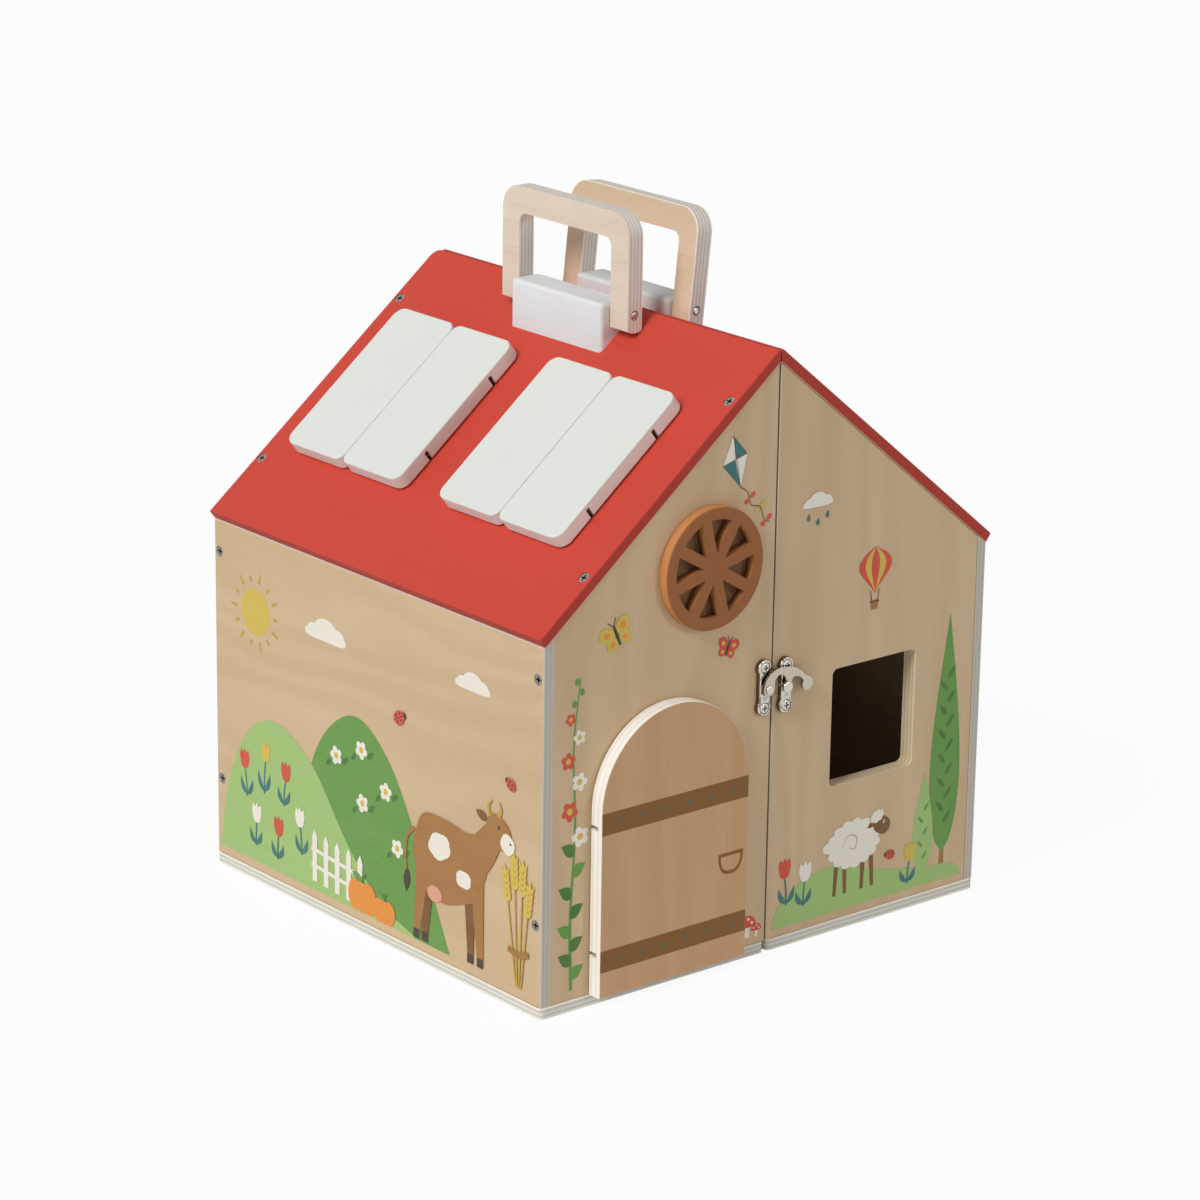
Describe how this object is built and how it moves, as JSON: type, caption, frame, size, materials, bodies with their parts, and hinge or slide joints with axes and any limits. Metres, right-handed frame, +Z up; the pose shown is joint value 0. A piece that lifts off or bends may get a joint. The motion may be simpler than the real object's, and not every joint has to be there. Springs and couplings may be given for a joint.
{
  "type": "wooden toy farm",
  "caption": "Plywood toy farmhouse that splits open on rear hinges, with a red roof, roof shutters, arched door, hook latch and carrying handles.",
  "frame": {"origin": "on the floor under the middle of the closed house", "axes": "+Z up, +Y from the door side to the hinged back, +X from the door half to the window half"},
  "size_m": [0.3052, 0.2945, 0.3765],
  "materials": {
    "plywood": "clear matt lacquer",
    "door_plywood": "clear matt lacquer",
    "handle_plywood": "clear matt lacquer",
    "red_paint": "matt red paint",
    "white_paint": "satin white paint",
    "brown_stain": "matt brown paint",
    "nickel": "bright nickel plate",
    "zinc_steel": "zinc plate"
  },
  "bodies": {
    "left_half": {"base_left": "plywood", "side_wall_left": "plywood", "gable_front_left": "plywood", "gable_rear_left": "plywood", "roof_left": "red_paint", "grip_block_left": "white_paint", "round_vent": "brown_stain", "wall_screws_left": "zinc_steel", "roof_screws_left": "zinc_steel", "base_screws_left": "zinc_steel", "block_screws_left": "zinc_steel", "handle_pivots_left": "zinc_steel", "rear_hinge_leaves_left": "nickel", "rear_hinge_screws_left": "zinc_steel", "rear_hinge_pins": "nickel", "door_hinge_eyes": "zinc_steel", "shutter_hinge_eyes": "zinc_steel", "latch_pivot_plate": "nickel", "latch_rivet": "nickel", "latch_screws_left": "nickel"},
    "right_half": {"base_right": "plywood", "side_wall_right": "plywood", "gable_front_right": "plywood", "gable_rear_right": "plywood", "roof_right": "red_paint", "grip_block_right": "white_paint", "wall_screws_right": "zinc_steel", "roof_screws_right": "zinc_steel", "base_screws_right": "zinc_steel", "block_screws_right": "zinc_steel", "handle_pivots_right": "zinc_steel", "rear_hinge_leaves_right": "nickel", "rear_hinge_screws_right": "zinc_steel", "latch_catch_plate": "nickel", "latch_catch_post": "nickel", "latch_screws_right": "nickel"},
    "door": {"door": "door_plywood", "door_hinge_pins": "zinc_steel"},
    "latch_hook": {"latch_hook": "nickel"},
    "handle_left": {"handle_left": "handle_plywood"},
    "handle_right": {"handle_right": "handle_plywood"},
    "shutter_front_a": {"shutter_front_a": "white_paint", "shutter_front_a_pins": "zinc_steel"},
    "shutter_front_b": {"shutter_front_b": "white_paint", "shutter_front_b_pins": "zinc_steel"},
    "shutter_rear_a": {"shutter_rear_a": "white_paint", "shutter_rear_a_pins": "zinc_steel"},
    "shutter_rear_b": {"shutter_rear_b": "white_paint", "shutter_rear_b_pins": "zinc_steel"}
  },
  "joints": [
    {"name": "right_half_swing", "type": "hinge", "parent": "left_half", "child": "right_half", "pos_m": [0, 0.1428, 0.1335], "axis": [0, 0, 1], "range_deg": [0, 180]},
    {"name": "door_swing", "type": "hinge", "parent": "left_half", "child": "door", "pos_m": [-0.1177, -0.1448, 0.06275], "axis": [0, 0, -1], "range_deg": [0, 110]},
    {"name": "latch_hook_lift", "type": "hinge", "parent": "left_half", "child": "latch_hook", "pos_m": [-0.0063, -0.1444, 0.1462], "axis": [0, -1, 0], "range_deg": [0, 100]},
    {"name": "handle_left_swing", "type": "hinge", "parent": "left_half", "child": "handle_left", "pos_m": [-0.0161, 0.0055, 0.32338], "axis": [0, 1, 0], "range_deg": [-118, 11.5]},
    {"name": "handle_right_swing", "type": "hinge", "parent": "right_half", "child": "handle_right", "pos_m": [0.0161, -0.0055, 0.32338], "axis": [0, -1, 0], "range_deg": [-127.5, 17.4]},
    {"name": "shutter_front_a_swing", "type": "hinge", "parent": "left_half", "child": "shutter_front_a", "pos_m": [-0.07931, -0.11055, 0.26621], "axis": [0.7771, 0, 0.6293], "range_deg": [0, 105]},
    {"name": "shutter_front_b_swing", "type": "hinge", "parent": "left_half", "child": "shutter_front_b", "pos_m": [-0.07931, -0.01605, 0.26621], "axis": [-0.7771, 0, -0.6293], "range_deg": [0, 105]},
    {"name": "shutter_rear_a_swing", "type": "hinge", "parent": "left_half", "child": "shutter_rear_a", "pos_m": [-0.07931, 0.02045, 0.26621], "axis": [0.7771, 0, 0.6293], "range_deg": [0, 105]},
    {"name": "shutter_rear_b_swing", "type": "hinge", "parent": "left_half", "child": "shutter_rear_b", "pos_m": [-0.07931, 0.11495, 0.26621], "axis": [-0.7771, 0, -0.6293], "range_deg": [0, 105]}
  ]
}
